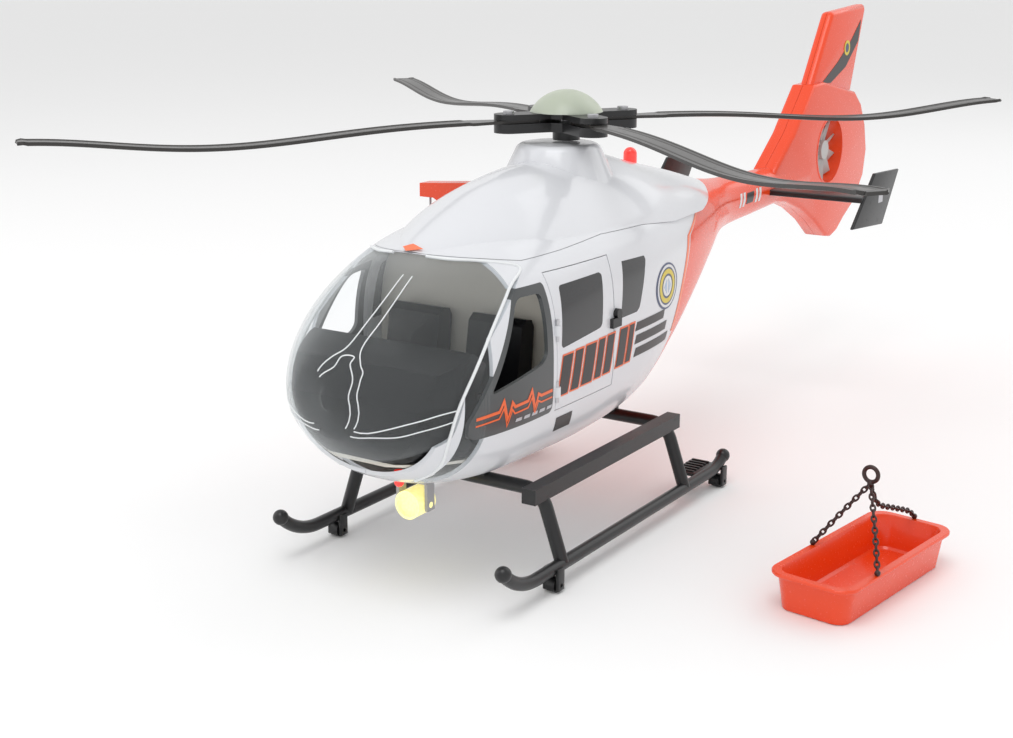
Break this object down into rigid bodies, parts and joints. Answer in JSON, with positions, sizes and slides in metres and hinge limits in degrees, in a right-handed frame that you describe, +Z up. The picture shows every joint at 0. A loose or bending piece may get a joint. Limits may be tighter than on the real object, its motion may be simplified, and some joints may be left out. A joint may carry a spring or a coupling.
{
  "type": "toy rescue helicopter",
  "caption": "Toy rescue helicopter with a turning four-blade rotor, shrouded tail fan, opening cabin doors, winch with hook, skids on rollers and a stretcher basket.",
  "frame": {"origin": "on the ground under the centre of the overall bounding box; the rotor mast stands 100 mm ahead of it, at y = -0.100", "axes": "+Z up, nose towards -Y, port side towards +X"},
  "size_m": [0.4802, 0.6821, 0.267],
  "materials": {
    "white_shell": "gloss",
    "orange_shell": "gloss",
    "black_plastic": "satin",
    "dark_grey": "satin",
    "clear": "gloss",
    "window_tint": "gloss",
    "steel": "satin",
    "cream": "satin",
    "battery_wrap": "gloss",
    "board": "satin",
    "red_lens": "gloss",
    "lamp": "gloss",
    "cap": "satin",
    "cord": "satin",
    "grey_plastic": "satin",
    "chain": "satin"
  },
  "bodies": {
    "airframe": {"port_shell": "white_shell", "starboard_shell": "white_shell", "roof_cowl": "white_shell", "canopy": "clear", "dashboard": "black_plastic", "seats": "black_plastic", "cabin_floor": "cream", "cabin_wall": "cream", "front_door_panels": "dark_grey", "rear_windows": "window_tint", "case_screws": "steel", "door_hinge_pins": "steel", "battery_case": "grey_plastic", "battery_cells": "battery_wrap", "circuit_board": "board", "speaker": "dark_grey", "motor": "steel", "transmission_deck": "grey_plastic", "port_tail_half": "orange_shell", "starboard_tail_half": "orange_shell", "fan_stator": "grey_plastic", "stabiliser": "black_plastic", "beacon_lens": "red_lens", "nose_light": "red_lens", "searchlight_bracket": "grey_plastic", "front_cross_tube": "black_plastic", "rear_cross_tube": "black_plastic", "port_skid": "black_plastic", "starboard_skid": "black_plastic", "step_rails": "black_plastic", "roller_axles": "steel", "hoist_arm": "orange_shell"},
    "main_rotor": {"mast": "steel", "mast_gear": "cream", "hub_lower": "black_plastic", "hub_upper": "black_plastic", "rotor_blades": "dark_grey", "blade_screws": "steel", "rotor_cap": "cap"},
    "motor_drive": {"motor_pinion": "steel"},
    "fan": {"tail_fan": "grey_plastic"},
    "port_door": {"port_cabin_door": "white_shell", "port_door_window": "window_tint", "port_door_latch": "black_plastic"},
    "starboard_door": {"starboard_cabin_door": "white_shell", "starboard_door_window": "window_tint", "starboard_door_latch": "black_plastic"},
    "battery_hatch": {"battery_door": "white_shell"},
    "switch": {"power_switch": "black_plastic"},
    "button": {"sound_button": "orange_shell"},
    "lamp": {"searchlight": "lamp"},
    "roller_pf": {"port_front_roller": "black_plastic"},
    "roller_pr": {"port_rear_roller": "black_plastic"},
    "roller_sf": {"starboard_front_roller": "black_plastic"},
    "roller_sr": {"starboard_rear_roller": "black_plastic"},
    "winch": {"winch_reel": "dark_grey"},
    "hook": {"winch_hook": "black_plastic", "winch_cord": "cord"},
    "stretcher": {"stretcher_basket": "orange_shell", "stretcher_bridle": "chain"}
  },
  "joints": [
    {"name": "rotor_spin", "type": "hinge", "parent": "airframe", "child": "main_rotor", "pos_m": [0, -0.1, 0.2], "axis": [0, 0, 1], "continuous": true},
    {"name": "motor_spin", "type": "hinge", "parent": "airframe", "child": "motor_drive", "pos_m": [0, -0.076, 0.15], "axis": [0, 0, 1], "continuous": true},
    {"name": "fan_spin", "type": "hinge", "parent": "airframe", "child": "fan", "pos_m": [0, 0.265, 0.163], "axis": [1, 0, 0], "continuous": true},
    {"name": "port_door_swing", "type": "hinge", "parent": "airframe", "child": "port_door", "pos_m": [0.0598, -0.2055, 0.12], "axis": [0, 0, -1], "range_deg": [0, 75]},
    {"name": "starboard_door_swing", "type": "hinge", "parent": "airframe", "child": "starboard_door", "pos_m": [-0.0598, -0.2055, 0.12], "axis": [0, 0, 1], "range_deg": [0, 75]},
    {"name": "battery_hatch_lift", "type": "slide", "parent": "airframe", "child": "battery_hatch", "axis": [0, 0, -1], "range_m": [0, 0.03]},
    {"name": "switch_slide", "type": "slide", "parent": "airframe", "child": "switch", "axis": [0, 1, 0], "range_m": [0, 0.003]},
    {"name": "button_press", "type": "slide", "parent": "airframe", "child": "button", "axis": [1, 0, 0], "range_m": [0, 0.0015], "stiffness_N_per_m": 800},
    {"name": "lamp_tilt", "type": "hinge", "parent": "airframe", "child": "lamp", "pos_m": [0, -0.243, 0.04], "axis": [1, 0, 0], "range_deg": [-30, 30]},
    {"name": "port_front_roll", "type": "hinge", "parent": "airframe", "child": "roller_pf", "pos_m": [0.0688, -0.222, 0.004], "axis": [1, 0, 0], "continuous": true},
    {"name": "port_rear_roll", "type": "hinge", "parent": "airframe", "child": "roller_pr", "pos_m": [0.0688, -0.037, 0.004], "axis": [1, 0, 0], "continuous": true},
    {"name": "starboard_front_roll", "type": "hinge", "parent": "airframe", "child": "roller_sf", "pos_m": [-0.0688, -0.222, 0.004], "axis": [1, 0, 0], "continuous": true},
    {"name": "starboard_rear_roll", "type": "hinge", "parent": "airframe", "child": "roller_sr", "pos_m": [-0.0688, -0.037, 0.004], "axis": [1, 0, 0], "continuous": true},
    {"name": "hook_lower", "type": "slide", "parent": "airframe", "child": "hook", "axis": [0, 0, -1], "range_m": [-0.035, 0.088], "deforming": ["winch_cord"]},
    {"name": "winch_turn", "type": "hinge", "parent": "airframe", "child": "winch", "pos_m": [-0.05, -0.098, 0.125], "axis": [1, 0, 0], "range_deg": [-306, 766]},
    {"name": "stretcher_lift", "type": "slide", "parent": "airframe", "child": "stretcher", "axis": [0, 0, 1], "range_m": [0, 0.08]}
  ],
  "couplings": [
    {"joint": "motor_spin", "follows": "rotor_spin", "ratio": -4},
    {"joint": "winch_turn", "follows": "hook_lower", "rad_per_m": 151.52}
  ]
}
